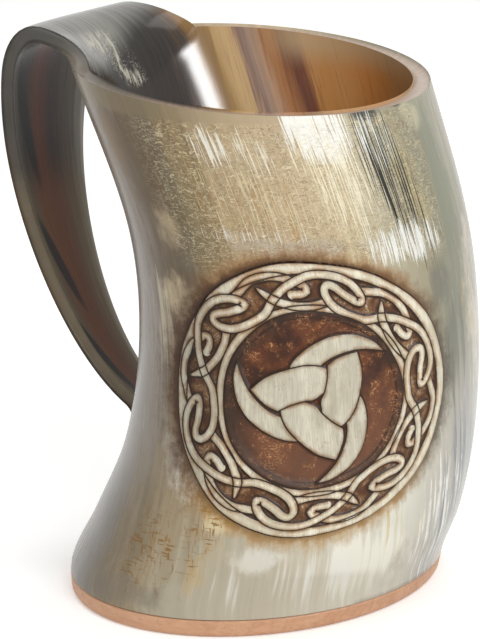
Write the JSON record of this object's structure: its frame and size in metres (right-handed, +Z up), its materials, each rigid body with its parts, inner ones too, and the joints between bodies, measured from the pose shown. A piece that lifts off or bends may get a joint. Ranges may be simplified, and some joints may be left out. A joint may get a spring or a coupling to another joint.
{
  "type": "horn beer mug",
  "caption": "Horn tankard for drinking: waisted oval body, strap handle bent from the same horn and pegged at its foot, and a flush wooden base sealed inside.",
  "frame": {"origin": "centre of the oval base's bottom face, where the mug stands on the table, under the origin of the wall's lines", "axes": "+Z up along the mug, -X towards the handle and +X towards the belly, and -Y towards the side that carries the carved medallion"},
  "size_m": [0.139, 0.1171, 0.1525],
  "materials": {
    "horn": "polished and lacquered horn, streaked cream, grey and brown, with a stained carved medallion",
    "base_wood": "oiled reddish tan wood with fine grain",
    "seal": "glossy dark poured resin",
    "peg": "dark polished hardwood"
  },
  "bodies": {
    "root": {"horn_body": "horn", "base_disc": "base_wood", "base_seal": "seal", "foot_peg_1": "peg", "foot_peg_2": "peg"}
  },
  "joints": []
}
